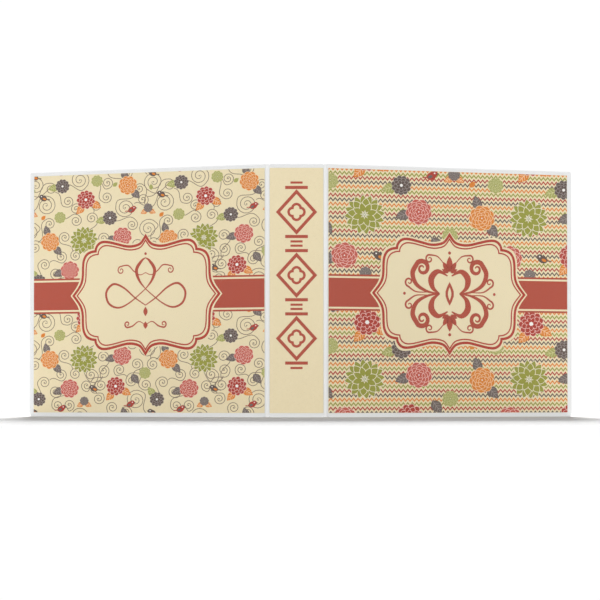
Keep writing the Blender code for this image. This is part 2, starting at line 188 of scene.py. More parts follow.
white_vinyl, vinyl_tree, vinyl_shader = add_material(
    "calendered_white_vinyl", "E9EAEA", 0.42, IOR=1.53, Coat_Weight=0.08, Coat_Roughness=0.35
)
vinyl_place = add_node(vinyl_tree, "ShaderNodeTexCoord").outputs["Object"]
grain = add_node(vinyl_tree, "ShaderNodeTexVoronoi", {"Vector": vinyl_place, "Scale": 1 / VINYL_GRAIN})
waves = {"Vector": vinyl_place, "Scale": 1 / VINYL_WAVE, "Detail": 2.0}
wave = add_node(vinyl_tree, "ShaderNodeTexNoise", waves)
relief = {0: wave.outputs["Fac"], 1: 6.0, 2: grain.outputs["Distance"]}
height = add_node(vinyl_tree, "ShaderNodeMath", relief, operation="MULTIPLY_ADD").outputs["Value"]
bump = add_node(vinyl_tree, "ShaderNodeBump", {"Strength": 0.25, "Distance": GRAIN_DEPTH, "Height": height})
vinyl_tree.links.new(bump.outputs["Normal"], vinyl_shader.inputs["Normal"])
for panel in ("spine", "front_cover", "back_cover"):
    paint(f"{panel}_outer_skin", white_vinyl)
    paint(f"{panel}_liner", white_vinyl)

# --- Boards ---
# Grey binder's board, pressed from waste paper: dull, slightly fibrous and flecked. A board
# stiffens each panel and is sealed between its two vinyl sheets.
FLECK = 1.1 * MM
board_card, board_tree, board_shader = add_material("grey_binders_board", "B4AEA4", 0.92)
board_place = add_node(board_tree, "ShaderNodeTexCoord").outputs["Object"]
fleck_sizes = {"Vector": board_place, "Scale": 1 / FLECK, "Detail": 6.0}
flecks = add_node(board_tree, "ShaderNodeTexNoise", fleck_sizes)
fleck_colour = add_node(board_tree, "ShaderNodeValToRGB", {"Fac": flecks.outputs["Fac"]})
fleck_colour.color_ramp.elements[0].color = srgb("9B958B")
fleck_colour.color_ramp.elements[1].color = srgb("C6C1B8")
board_tree.links.new(fleck_colour.outputs["Color"], board_shader.inputs["Base Color"])
for panel in ("spine", "front_cover", "back_cover"):
    paint(f"{panel}_board", board_card)

# --- Hinge webs ---
# Where the casing's two vinyl sheets are welded to each other, it folds like a book cloth
# hinge. Each web reaches from the spine's rim to the cover's and has a rounded crease.
WEB_HALF_WIDTH = 2.35 * MM
WEB_THICKNESS = 0.5 * MM
WEB_DEPTH = -1.3 * MM  # of the web's middle, level with the panels' outer sheets
WEB_CREASE = 0.3 * MM  # outwards
WEB_COLUMNS = 20
FOLDS = {"front_cover": math.radians(23.0), "back_cover": math.radians(26.5)}  # from the spine's plane
for cover, side in (("front_cover", 1), ("back_cover", -1)):
    hinge = Vector(joints[f"{cover}_hinge"]["pos_m"])
    low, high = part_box(f"{cover}_hinge_web")
    web = bmesh.new()
    columns = []
    for i in range(WEB_COLUMNS + 1):
        across = -1 + 2 * i / WEB_COLUMNS
        x = across * WEB_HALF_WIDTH
        y = WEB_DEPTH - WEB_CREASE * math.cos(math.pi * across / 2) ** 2
        bend = side * FOLDS[cover] * max(0, side * across)
        turned_x = x * math.cos(bend) - y * math.sin(bend)
        turned_y = x * math.sin(bend) + y * math.cos(bend)
        foot = hinge + Vector((turned_x, turned_y, 0))
        columns.append([web.verts.new(foot + Vector((0, 0, z))) for z in (low.z, high.z)])
    for left, right in zip(columns, columns[1:]):
        web.faces.new((left[0], right[0], right[1], left[1]))
    piece = add_piece(f"{cover}_folding_web", web, white_vinyl)
    wall = piece.modifiers.new("wall", "SOLIDIFY")
    wall.thickness, wall.offset = WEB_THICKNESS, 0
    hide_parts(f"{cover}_hinge_web")
    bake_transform(piece)

# --- Clear overlays ---
# Clear PVC film welded to the casing on three sides, so that a print slides in from the top.
# It is glossy and almost invisible from the front, with faint waves from the welding.
FILM_WAVES = (45 * MM, 1.0, 0.2, 0.2 * MM)


def wavy_plastic(name, colour, roughness, waves, **sockets):
    """Plastic with waves in its surface, given as their length, detail, strength and depth."""
    made, tree, shader = add_material(name, colour, roughness, **sockets)
    length, detail, strength, depth = waves
    place = add_node(tree, "ShaderNodeTexCoord").outputs["Object"]
    surface = add_node(tree, "ShaderNodeTexNoise", {"Vector": place, "Scale": 1 / length, "Detail": detail})
    relief = {"Strength": strength, "Distance": depth, "Height": surface.outputs["Fac"]}
    bump = add_node(tree, "ShaderNodeBump", relief)
    tree.links.new(bump.outputs["Normal"], shader.inputs["Normal"])
    return made


clear_film = wavy_plastic("clear_pvc_film", "F6F8F8", 0.12, FILM_WAVES, IOR=1.53, Alpha=0.015)
for panel in ("spine", "front_cover", "back_cover"):
    paint(f"{panel}_clear_overlay", clear_film)

# --- Printed paper ---
# The inserts are heavy matt paper with a linen finish. The threads pressed into the surface show
# through the print, and are drawn about twice as coarse as real ones so that they show at all.
THREAD_SPACING = 1.7 * MM
THREAD_DEPTH = 0.02 * MM
FIBRE_CLUMP = 3.85 * MM


def linen_stock(name, colour, second=None):
    """Matt linen-finish paper, or ink on it; the second colour mottles the first."""
    made, tree, shader = add_material(name, colour, 0.72, IOR=1.45, Specular_IOR_Level=0.2)
    place = add_node(tree, "ShaderNodeTexCoord").outputs["Object"]
    split = add_node(tree, "ShaderNodeSeparateXYZ", {"Vector": place})
    threads = []
    for axis in ("X", "Z"):
        factors = {0: split.outputs[axis], 1: math.tau / THREAD_SPACING}
        phase = add_node(tree, "ShaderNodeMath", factors, operation="MULTIPLY").outputs["Value"]
        threads.append(add_node(tree, "ShaderNodeMath", {0: phase}, operation="SINE").outputs["Value"])
    crossed = {0: threads[0], 1: threads[1]}
    weave = add_node(tree, "ShaderNodeMath", crossed, operation="ADD").outputs["Value"]
    bump = add_node(tree, "ShaderNodeBump", {"Strength": 0.5, "Distance": THREAD_DEPTH, "Height": weave})
    tree.links.new(bump.outputs["Normal"], shader.inputs["Normal"])
    if second:
        clumps = {"Vector": place, "Scale": 1 / FIBRE_CLUMP, "Detail": 5.0}
        fibres = add_node(tree, "ShaderNodeTexNoise", clumps)
        mottle = add_node(tree, "ShaderNodeValToRGB", {"Fac": fibres.outputs["Fac"]})
        mottle.color_ramp.elements[0].color = srgb(second)
        mottle.color_ramp.elements[1].color = srgb(colour)
        tree.links.new(mottle.outputs["Color"], shader.inputs["Base Color"])
    return made


cream_paper = linen_stock("cream_linen_paper", "EDDFBB", "E6D7B0")
for panel in ("spine", "front_cover", "back_cover"):
    paint(f"{panel}_insert", cream_paper)

# --- Floral repeat ---
# Both cover prints share one repeat of dahlias, peonies, roses, leaves and small birds, in flat
# inks with fine pale lines. Each ink lies on the paper as a film of its own. The artwork is in
# millimetres of a 180 mm repeat, with y up.
INKS = {
    "cream": "EBDDB8",
    "brick_red": "B04C38",
    "outline_red": "B03A2A",
    "blossom_red": "AE392C",
    "olive_green": "97983A",
    "leaf_green": "A4A55A",
    "orange": "DC822C",
    "dark_brown": "605048",
    "slate": "6E625B",
    "coral": "C45A4A",
    "vine_brown": "7E6C5C",
    "blush": "F0CABE",
    "apricot": "F2CFA6",
    "pale_green": "D2CD98",
    "ash": "9C918C",
    "ivory": "F0E6D0",
    "white": "F6F3EE",
}
ink_stock = {ink: linen_stock(f"{ink}_ink", colour) for ink, colour in INKS.items()}
LAYER = 0.012 * MM  # between one ink film and the next
PAPER_MARGIN = 0.2 * MM  # that stays free of ink at the paper's edges


def face_of(node_name):
    """A flat CAD plate's outward face: its centre, its horizontal direction, normal and half size."""
    mesh = nodes[node_name].data
    normal = max(mesh.polygons, key=lambda face: (face.normal.y < 0) * face.area).normal.copy()
    across = Vector((0, 0, 1)).cross(-normal).normalized()
    if across.x < 0:
        across = -across
    corners = [vertex.co for vertex in mesh.vertices]
    depth = max(corner.dot(normal) for corner in corners)
    sides = [corner.dot(across) for corner in corners]
    heights = [corner.z for corner in corners]
    middle = (max(sides) + min(sides)) / 2
    centre = middle * across + depth * normal + Vector((0, 0, (max(heights) + min(heights)) / 2))
    half = ((max(sides) - min(sides)) / 2, (max(heights) - min(heights)) / 2)
    return centre, across, normal, half


class Artwork:
    """Flat shapes on a face, in the artwork's own units, with one mesh for each ink."""

    def __init__(self):
        self.inks = {}

    def mesh(self, ink):
        return self.inks.setdefault(ink, bmesh.new())

    def fill(self, ink, points, layer):
        mesh = self.mesh(ink)
        face = mesh.faces.new([mesh.verts.new((x, y, layer)) for x, y in points])
        face.normal_update()
        if face.normal.z < 0:
            face.normal_flip()
        bmesh.ops.triangulate(mesh, faces=[face])

    def stroke(self, ink, points, width, layer, closed=False):
        """A ribbon along the points; the width may be a number or one for each point."""
        mesh = self.mesh(ink)
        count = len(points)
        widths = width if isinstance(width, list) else [width] * count
        rails = []
        for i, (x, y) in enumerate(points):
            before = Vector(points[i - 1] if closed or i else points[i])
            after = Vector(points[(i + 1) % count] if closed or i < count - 1 else points[i])
            here = Vector((x, y))
            first, second = (here - before), (after - here)
            first = first.normalized() if first.length else second.normalized()
            second = second.normalized() if second.length else first
            along = (first + second).normalized() if (first + second).length > 1e-6 else second
            out = Vector((-along.y, along.x))
            reach = widths[i] / 2 / max(0.35, abs(out.dot(Vector((-second.y, second.x)))))
            rails.append([mesh.verts.new((*(here + sign * reach * out), layer)) for sign in (-1, 1)])
        for i in range(count if closed else count - 1):
            (a, b), (c, d) = rails[i], rails[(i + 1) % count]
            face = mesh.faces.new((a, c, d, b))
            face.normal_update()
            if face.normal.z < 0:
                face.normal_flip()

    def finished(self):
        """A plain mesh for each ink."""
        made = {}
        for ink, mesh in self.inks.items():
            made[ink] = bpy.data.meshes.new(f"artwork_{ink}")
            mesh.to_mesh(made[ink])
            mesh.free()
        return made


def print_on(node_name, body, design, meshes, scale, origin=(0, 0)):
    """Lays each ink's mesh on a face and trims it at the paper's edges.

    The scale is the size of the artwork's unit across and up, and the origin is measured from
    the face's centre.
    """
    centre, across, normal, half = face_of(node_name)
    for ink, flat in meshes.items():
        mesh = bmesh.new()
        mesh.from_mesh(flat)
        mesh.transform(Matrix.Translation((*origin, 0)) @ Matrix.Diagonal((*scale, LAYER, 1)))
        for axis, limit in ((0, half[0]), (1, half[1])):
            for sign in (-1, 1):
                edge, out = [0, 0, 0], [0, 0, 0]
                edge[axis], out[axis] = sign * (limit - PAPER_MARGIN), sign
                everything = mesh.verts[:] + mesh.edges[:] + mesh.faces[:]
                bmesh.ops.bisect_plane(mesh, geom=everything, plane_co=edge, plane_no=out, clear_outer=True)
        if not mesh.faces:
            mesh.free()
            continue
        upright = Matrix((across, Vector((0, 0, 1)), normal)).transposed().to_4x4()
        mesh.transform(Matrix.Translation(centre) @ upright)
        piece = add_piece(f"{design}_{ink}", mesh, ink_stock[ink])
        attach(piece, body)


REPEAT = 180
VINE_LAYER, LEAF_LAYER, FLOWER_LAYER = 1, 2, 3
flowers, scrolls = Artwork(), Artwork()
variation = random.Random(11)
blooms = []  # the middle of each flower, and how far it reaches


def petal(centre, angle, start, reach, half_width, point):
    """The outline of one petal; a point of 0 gives a round tip and 1 a sharp one."""
    outline = []
    for side in (1, -1):
        for i in range(5):
            t = i / 5 if side > 0 else 1 - i / 5
            round_width = math.sqrt(max(0, 1 - (2 * t - 1) ** 2))
            sharp_width = math.sin(math.pi * t) ** 1.1
            width = side * half_width * (point * sharp_width + (1 - point) * round_width)
            along = start + (reach - start) * t
            x = centre[0] + along * math.cos(angle) - width * math.sin(angle)
            outline.append((x, centre[1] + along * math.sin(angle) + width * math.cos(angle)))
    return outline


def disc(centre, radius, sides=12):
    turns = [math.tau * i / sides for i in range(sides)]
    return [(centre[0] + radius * math.cos(a), centre[1] + radius * math.sin(a)) for a in turns]


def flower(centre, radius, ink, line, rings, line_width, point=0.0, heart=0.0):
    """Rings of petals from the outside in, each petal edged with a fine line.

    A ring is its number of petals, where they start, how far they reach and their half width,
    the last three as parts of the radius. The heart is the radius of a white middle.
    """
    blooms.append((Vector(centre), 0.75 * radius))
    layer = FLOWER_LAYER
    turn = variation.uniform(0, math.tau)
    flowers.fill(ink, disc(centre, 0.7 * radius), layer - 0.5)
    for count, start, reach, half_width in rings:
        for i in range(count):
            angle = turn + math.tau * i / count
            for shape, grow in ((line, 0.5), (ink, -0.5)):
                edge = grow * line_width
                ends = (start * radius - edge, reach * radius + edge, half_width * radius + edge)
                flowers.fill(shape, petal(centre, angle, *ends, point), layer + 0.25 - grow / 2)
        turn += math.pi / count
        layer += 1
    if heart:
        flowers.fill("white", disc(centre, heart), layer)


def dahlia(centre, radius):
    rings = ((16, 0.45, 1.0, 0.155), (8, 0.3, 0.84, 0.18), (8, 0.1, 0.62, 0.155))
    flower(centre, radius, "olive_green", "ivory", rings, 0.7, 0.75)
    for i in range(7):
        place = (centre[0] + 1.7 * math.cos(i * math.tau / 6), centre[1] + 1.7 * math.sin(i * math.tau / 6))
        flowers.fill("white", disc(place if i else centre, 0.65, 6), FLOWER_LAYER + 4.2)


def peony(centre, radius, ink, line):
    rings = ((11, 0.52, 1.0, 0.225), (9, 0.3, 0.78, 0.195), (7, 0.1, 0.52, 0.145))
    flower(centre, radius, ink, line, rings, 0.55, 0.0, 0.15 * radius)


def rose(centre, radius, ink, line, line_width=0.55):
    outer_rings = ((9, 0.5, 1.0, 0.3), (9, 0.4, 0.83, 0.23), (8, 0.26, 0.66, 0.2))
    rings = (*outer_rings, (6, 0.14, 0.48, 0.17), (5, 0.02, 0.3, 0.12))
    flower(centre, radius, ink, line, rings, line_width, 0.0, 0.05 * radius)


def leaf(centre, angle, length, ink, vein):
    """A pointed leaf with a midrib and side veins, its root hidden under its flower."""
    root = Vector(centre)
    along = Vector((math.cos(angle), math.sin(angle)))
    out = Vector((-along.y, along.x))
    half_width = 0.33 * length
    outline = []
    for side in (1, -1):
        for i in range(7):
            t = i / 7 if side > 0 else 1 - i / 7
            width = side * half_width * math.sin(math.pi * t**0.8) ** 1.1
            outline.append(tuple(root + t * length * along + width * out))
    flowers.fill(ink, outline, LEAF_LAYER)
    flowers.stroke(vein, [tuple(root), tuple(root + 0.86 * length * along)], 0.65, LEAF_LAYER + 0.2)
    for t in (0.2, 0.4, 0.6):
        for side in (1, -1):
            start = root + t * length * along
            end = start + 0.18 * length * along + side * 0.66 * half_width * out
            flowers.stroke(vein, [tuple(start), tuple(end)], 0.6, LEAF_LAYER + 0.2)


def bird(centre, facing, body, wing):
    """A plump little bird in side view: body and head, beak, tail, wing and eye."""

    def oval(x, y, half_length, half_height, tilt, sides=14):
        points = []
        for i in range(sides):
            a = math.tau * i / sides
            px, py = half_length * math.cos(a), half_height * math.sin(a)
            turned_x = px * math.cos(tilt) - py * math.sin(tilt)
            turned_y = px * math.sin(tilt) + py * math.cos(tilt)
            points.append((centre[0] + facing * (x + turned_x), centre[1] + y + turned_y))
        return points

    def corners(*points):
        return [(centre[0] + facing * x, centre[1] + y) for x, y in points]

    flowers.fill(body, oval(-0.3, -0.3, 5.8, 4.3, 0.45), FLOWER_LAYER)
    flowers.fill(body, oval(2.8, 2.2, 3.6, 3.3, 0), FLOWER_LAYER + 0.3)
    flowers.fill(body, corners((-2.5, 1), (-8.4, -2.6), (-2.5, -2.9)), FLOWER_LAYER + 0.6)
    flowers.fill(body, corners((-7.3, -1.3), (-10.4, -1.9), (-10.2, -3.2), (-7.3, -2.6)), FLOWER_LAYER + 0.9)
    flowers.fill("dark_brown", corners((5.8, 3.4), (8.2, 2.2), (5.8, 1)), FLOWER_LAYER + 0.6)
    flowers.fill(wing, oval(-1.9, -1.3, 2.8, 1.7, 0.4), FLOWER_LAYER + 1.2)
    flowers.fill("white", oval(2.9, 2.7, 0.9, 0.9, 0, 8), FLOWER_LAYER + 1.2)


def at(u, v):
    """A place in the repeat, given as parts of its width from the left and its height from the top."""
    return (u * REPEAT, -v * REPEAT)


dahlia(at(0.42, 0.62), 22)
for u, v, leaf_turn in ((0.235, 0.155, 3.3), (0.64, 0.435, 3.4), (0.035, 0.96, 2.2)):
    x, y = at(u, v)
    root = (x + 5.8 * math.cos(leaf_turn), y + 5.8 * math.sin(leaf_turn))
    leaf(root, leaf_turn, 17, "leaf_green", "pale_green")
    peony((x, y), 11, "dark_brown", "ash")
for u, v in ((0.435, 0.275), (0.69, 0.85)):
    x, y = at(u, v)
    leaf((x + 8, y - 4), -0.55, 18, "orange", "apricot")
    leaf((x - 3, y - 9), -2.3, 17, "orange", "apricot")
    peony((x, y), 14.5, "blossom_red", "blush")
for u, v in ((0.79, 0.165), (0.13, 0.625)):
    x, y = at(u, v)
    leaf((x + 6, y - 7), -0.85, 18, "slate", "ash")
    leaf((x - 3, y + 9), 1.85, 17, "slate", "ash")
    rose((x, y), 14.5, "orange", "apricot", 0.65)
for u, v in ((0.745, 0.595), (0.3, 0.87)):
    x, y = at(u, v)
    leaf((x - 9, y - 1), 3.5, 18, "slate", "ash")
    rose((x, y), 14.5, "coral", "blush")
for u, v in ((0.53, 0.12), (0.215, 0.42), (0.935, 0.74)):
    rose(at(u, v), 9, "leaf_green", "pale_green", 0.4)
for u, v in ((0.96, 0.36), (0.425, 0.975)):
    x, y = at(u, v)
    leaf((x - 0.6, y - 3), 3.6, 12, "orange", "apricot")
    leaf((x + 0.6, y - 3), -0.45, 12, "orange", "apricot")
    rose((x, y), 6.8, "slate", "ash", 0.35)
leaf(at(0.825, 0.75), -0.95, 18, "slate", "ash")
leaf(at(0.055, 0.435), 0.8, 9, "orange", "orange")
for u, v, turn in ((0.665, 0.17, 0.7), (0.985, 0.21, 1.6)):
    leaf(at(u, v), turn, 9, "leaf_green", "leaf_green")
for u, v in ((0.825, 0.37), (0.23, 0.04), (0.815, 0)):
    bird(at(u, v), 1, "blossom_red", "slate")
for u, v in ((0.07, 0.25), (0.505, 0.87), (0.995, 0.07)):
    bird(at(u, v), -1, "dark_brown", "orange")

# Vine scrolls fill the ground between the flowers. Each goes where most room is left, winds about
# two turns there, and its stem sways on to a flower or another scroll near by.
SCROLLS = 38
LARGE_SCROLLS = 6
LARGE_REACH, SMALL_REACH = 15, 8.8
LARGE_TURNS, SMALL_TURNS = 2.3, 1.8
SHORTEST_STEM = 1.6  # as a part of its scroll's reach
STEM_SWING = 1.9  # radians between where a stem leaves its scroll and where it goes
PLACES_TRIED = 120
GOALS_TRIED = 8
SPIRAL_STEPS, STEM_STEPS = 36, 14
VINE_WIDTH = 1.0
growth = random.Random(3)
grown = []


def wrapped(way):
    """The shortest way between two places of the repeat, which has a copy of itself on every side."""
    return Vector([(part + REPEAT / 2) % REPEAT - REPEAT / 2 for part in way])


def room_at(place):
    return min(wrapped(place - middle).length - reach for middle, reach in blooms + grown)


for number in range(SCROLLS):
    centre = max((Vector(at(growth.random(), growth.random())) for _ in range(PLACES_TRIED)), key=room_at)
    limit = LARGE_REACH if number < LARGE_SCROLLS else SMALL_REACH
    grown.append((centre, min(limit, 1.05 * room_at(centre))))

for centre, reach in grown:
    ways = [(wrapped(middle - centre), 0) for middle, _ in blooms]
    ways += [(wrapped(middle - centre), other) for middle, other in grown]
    ways = [way for way in ways if way[0].length > SHORTEST_STEM * reach]
    way, rim = growth.choice(sorted(ways, key=lambda way: way[0].length)[:GOALS_TRIED])
    winding = growth.choice((-1, 1))
    leaves_at = math.atan2(way.y, way.x) - winding * STEM_SWING
    turns = LARGE_TURNS if reach > SMALL_REACH else SMALL_TURNS
    route = []
    for i in range(SPIRAL_STEPS + 1):
        t = i / SPIRAL_STEPS
        angle = leaves_at - winding * math.tau * turns * (1 - t)
        route.append(centre + reach * (0.1 + 0.9 * t**0.9) * Vector((math.cos(angle), math.sin(angle))))
    start, goal = route[-1], centre + way - rim * way.normalized()
    ahead = goal - start
    handles = (
        start + 0.5 * ahead.length * (start - route[-2]).normalized(),
        goal - 0.4 * ahead + 0.35 * winding * Vector((-ahead.y, ahead.x)),
    )
    for i in range(1, STEM_STEPS + 1):
        t = i / STEM_STEPS
        sway = 3 * (1 - t) ** 2 * t * handles[0] + 3 * (1 - t) * t**2 * handles[1]
        route.append((1 - t) ** 3 * start + sway + t**3 * goal)
    widths = [VINE_WIDTH * min(1, 0.5 + i / 18) for i in range(len(route))]
    scrolls.stroke("vine_brown", [tuple(point) for point in route], widths, VINE_LAYER)
    scrolls.fill("vine_brown", disc(centre, 1.0, 8), VINE_LAYER + 0.3)


def new_tree(name, inputs):
    """A Geometry Nodes tree with a geometry output and named inputs."""
    tree = bpy.data.node_groups.new(name, "GeometryNodeTree")
    tree.interface.new_socket("Geometry", in_out="OUTPUT", socket_type="NodeSocketGeometry")
    for label, kind in inputs.items():
        tree.interface.new_socket(label, in_out="INPUT", socket_type=f"NodeSocket{kind}")
    return tree, add_node(tree, "NodeGroupInput").outputs


def end_tree(tree, points, copied, material):
    """Puts a real copy at each point and gives them all their material."""
    copies = add_node(tree, "GeometryNodeInstanceOnPoints", {"Points": points, "Instance": copied})
    real = add_node(tree, "GeometryNodeRealizeInstances", {"Geometry": copies.outputs["Instances"]})
    dressing = {"Geometry": real.outputs["Geometry"], "Material": material}
    dressed = add_node(tree, "GeometryNodeSetMaterial", dressing)
    add_node(tree, "NodeGroupOutput", {"Geometry": dressed.outputs["Geometry"]})


def built(tree, values, mesh=None):
    """The plain mesh that a tree makes once its inputs are set by name."""
    holder = add_piece("holder", mesh or bpy.data.meshes.new("holder"))
    modifier = holder.modifiers.new("holder", "NODES")
    modifier.node_group = tree
    for item in tree.interface.items_tree:
        if item.in_out == "INPUT" and item.name in values:
            modifier[item.identifier] = values[item.name]
    holder.update_tag()
    graph = bpy.context.evaluated_depsgraph_get()
    made = bpy.data.meshes.new_from_object(holder.evaluated_get(graph))
    bpy.data.objects.remove(holder)
    made.materials.clear()
    return made


repeat_inputs = {"Artwork": "Geometry", "Across": "Int", "Down": "Int", "Pitch": "Float", "Ink": "Material"}
repeat_tree, given = new_tree("repeat_print", repeat_inputs)
grid_size = {"Vertices X": given["Across"], "Vertices Y": given["Down"]}
for side, count in (("Size X", "Across"), ("Size Y", "Down")):
    gaps = add_node(repeat_tree, "ShaderNodeMath", {0: given[count], 1: 1.0}, operation="SUBTRACT")
    factors = {0: gaps.outputs["Value"], 1: given["Pitch"]}
    span = add_node(repeat_tree, "ShaderNodeMath", factors, operation="MULTIPLY")
    grid_size[side] = span.outputs["Value"]
grid = add_node(repeat_tree, "GeometryNodeMeshGrid", grid_size)
end_tree(repeat_tree, grid.outputs["Mesh"], given["Artwork"], given["Ink"])

REPEATS = 4
# cover: (size of the repeat across and up, its top left corner from the paper's top left)
PRINTS = {
    "back_cover": ((185.5 * MM, 161.4 * MM), (1.7 * MM, 10.1 * MM)),
    "front_cover": ((244.8 * MM, 218.6 * MM), (-50.3 * MM, 74.9 * MM)),
}


def print_repeat(cover, design, meshes):
    """Prints the repeat over a whole cover, with one copy's top left corner at its stated place."""
    size, corner = PRINTS[cover]
    half = face_of(f"{cover}_insert")[3]
    scale = (size[0] / REPEAT, size[1] / REPEAT)
    rows = {}
    for ink, mesh in meshes.items():
        values = {"Across": REPEATS, "Down": REPEATS, "Pitch": float(REPEAT), "Ink": ink_stock[ink]}
        rows[ink] = built(repeat_tree, values, mesh.copy())
    # The grid is centred, so its copies stand half a repeat to each side of the origin.
    origin = (corner[0] - half[0] + size[0] / 2, half[1] + corner[1] - size[1] / 2)
    print_on(f"{cover}_insert", f"{cover}_print", f"{cover}_{design}", rows, scale, origin)


flower_meshes, scroll_meshes = flowers.finished(), scrolls.finished()
print_repeat("back_cover", "floral", flower_meshes)
print_repeat("back_cover", "scroll", scroll_meshes)
print_repeat("front_cover", "floral", flower_meshes)

# --- Chevrons ---
# Behind the front cover's flowers run fine zigzag lines in four inks, in turn from the top.
CHEVRON_PITCH = 5.9 * MM
CHEVRON_PERIOD = 6.6 * MM
CHEVRON_RISE = 3.8 * MM
CHEVRON_LINE = 2.5 * MM
CHEVRON_INKS = ("orange", "olive_green", "outline_red", "dark_brown")

chevron_inputs = {
    "Rows": "Int", "Row pitch": "Float", "Corners": "Int", "Half period": "Float",
    "Rise": "Float", "Line": "Float", "Ink": "Material",
}
chevron_tree, given = new_tree("chevron_rows", chevron_inputs)
gaps = add_node(chevron_tree, "ShaderNodeMath", {0: given["Corners"], 1: 1.0}, operation="SUBTRACT")
factors = {0: gaps.outputs["Value"], 1: given["Half period"]}
length = add_node(chevron_tree, "ShaderNodeMath", factors, operation="MULTIPLY").outputs["Value"]
ribbon_size = {"Size X": length, "Size Y": given["Line"], "Vertices X": given["Corners"], "Vertices Y": 2}
ribbon = add_node(chevron_tree, "GeometryNodeMeshGrid", ribbon_size)
position = add_node(chevron_tree, "GeometryNodeInputPosition").outputs["Position"]
lift = add_node(chevron_tree, "ShaderNodeSeparateXYZ", {"Vector": position}).outputs["X"]
for operation, factor in (("PINGPONG", "Half period"), ("DIVIDE", "Half period"), ("MULTIPLY", "Rise")):
    factors = {0: lift, 1: given[factor]}
    lift = add_node(chevron_tree, "ShaderNodeMath", factors, operation=operation).outputs["Value"]
offset = add_node(chevron_tree, "ShaderNodeCombineXYZ", {"Y": lift}).outputs["Vector"]
bending = {"Geometry": ribbon.outputs["Mesh"], "Offset": offset}
bent = add_node(chevron_tree, "GeometryNodeSetPosition", bending).outputs["Geometry"]
down = add_node(chevron_tree, "ShaderNodeMath", {0: given["Row pitch"], 1: -1.0}, operation="MULTIPLY")
step = add_node(chevron_tree, "ShaderNodeCombineXYZ", {"Y": down.outputs["Value"]}).outputs["Vector"]
column = add_node(chevron_tree, "GeometryNodeMeshLine", {"Count": given["Rows"], "Offset": step})
end_tree(chevron_tree, column.outputs["Mesh"], bent, given["Ink"])

front_half = face_of("front_cover_insert")[3]
row_count = math.ceil(2 * front_half[1] / CHEVRON_PITCH / len(CHEVRON_INKS)) + 1
corner_count = 4 * math.ceil(front_half[0] / CHEVRON_PERIOD) + 1
values = {
    "Rows": row_count, "Row pitch": CHEVRON_PITCH * len(CHEVRON_INKS), "Corners": corner_count,
    "Half period": CHEVRON_PERIOD / 2, "Rise": CHEVRON_RISE, "Line": CHEVRON_LINE,
}
chevrons = {}
for order, ink in enumerate(CHEVRON_INKS):
    chevrons[ink] = built(chevron_tree, {**values, "Ink": ink_stock[ink]})
    top = front_half[1] - CHEVRON_RISE / 2 - order * CHEVRON_PITCH
    chevrons[ink].transform(Matrix.Translation((0, top, VINE_LAYER)))
print_on("front_cover_insert", "front_cover_print", "front_cover_chevron", chevrons, (1, 1))

# --- Band and label ---
# Across both covers runs a red band between two thin lines, with a bracket-shaped label in
# the middle: a double red outline on cream. On each label stands a flourish.
BAND_REACH = 200  # to each side, past the paper's edges
BAND_HEIGHT = 38.4
BAND_GAP = 2.4
BAND_LINE = 2.4
LABEL_HALF = (112.5, 79.5)
LABEL_LINE = 3.5
LABEL_INNER_LINE = 1.9
LABEL_INNER_GAP = 5.6
BAND_LAYER, LABEL_LAYER, ORNAMENT_LAYER = 12, 14, 17
CURL_STEPS = 26


def smooth(points, steps):
    """A smooth curve through the points."""
    last = len(points) - 1
    curve = []
    for i in range(last):
        a, b, c, d = [Vector(points[min(max(k, 0), last)]) for k in (i - 1, i, i + 1, i + 2)]
        for step in range(steps):
            t = step / steps
            place = 0.5 * (2 * b + (c - a) * t + (2 * a - 5 * b + 4 * c - d) * t**2)
            curve.append(tuple(place + 0.5 * (3 * b - a - 3 * c + d) * t**3))
    return curve + [tuple(points[-1])]


def mirrored(points):
    return [(-x, y) for x, y in points]


def label_outline():
    """A quarter from the top point to the notch and on to the side point, turned round to four."""
    shoulder = ((0, 1), (0.068, 0.876), (0.16, 0.832), (0.26, 0.83), (0.38, 0.867), (0.5, 0.905),
                (0.59, 0.914), (0.65, 0.88), (0.685, 0.815), (0.692, 0.758))
    flank = ((0.692, 0.758), (0.757, 0.745), (0.818, 0.7), (0.856, 0.61), (0.868, 0.495),
             (0.871, 0.343), (0.886, 0.229), (0.924, 0.13), (1, 0))
    quarter = smooth(shoulder, 4)[:-1] + smooth(flank, 4)
    quarter = [(x * LABEL_HALF[0], y * LABEL_HALF[1]) for x, y in quarter]
    lower = [(x, -y) for x, y in reversed(quarter[:-1])]
    right = quarter + lower
    return right + mirrored(right[1:-1])[::-1]


def drawn_in(points, distance):
    """The label's outline drawn smaller, by a distance at its four points."""
    return [(x * (1 - distance / LABEL_HALF[0]), y * (1 - distance / LABEL_HALF[1])) for x, y in points]


def draw_band_and_label(art):
    half = BAND_HEIGHT / 2
    trim = half + BAND_GAP + BAND_LINE
    bars = (("cream", -trim, trim, 0), ("brick_red", -half, half, 1))
    lines = (("brick_red", half + BAND_GAP, trim, 1), ("brick_red", -trim, -half - BAND_GAP, 1))
    for ink, low, high, above in bars + lines:
        corners = [(-BAND_REACH, low), (BAND_REACH, low), (BAND_REACH, high), (-BAND_REACH, high)]
        art.fill(ink, corners, BAND_LAYER + above)
    outline = label_outline()
    inner_line = drawn_in(outline, LABEL_INNER_GAP)
    art.fill("cream", drawn_in(outline, -BAND_GAP / 2 - LABEL_LINE), LABEL_LAYER)
    art.stroke("outline_red", outline, LABEL_LINE, LABEL_LAYER + 1, closed=True)
    art.stroke("outline_red", inner_line, LABEL_INNER_LINE, LABEL_LAYER + 1, closed=True)


def swelling(points, thin, thick):
    """Pen widths that swell towards the middle of a stroke."""
    last = len(points) - 1
    return [thin + (thick - thin) * math.sin(math.pi * i / last) ** 1.5 for i in range(last + 1)]


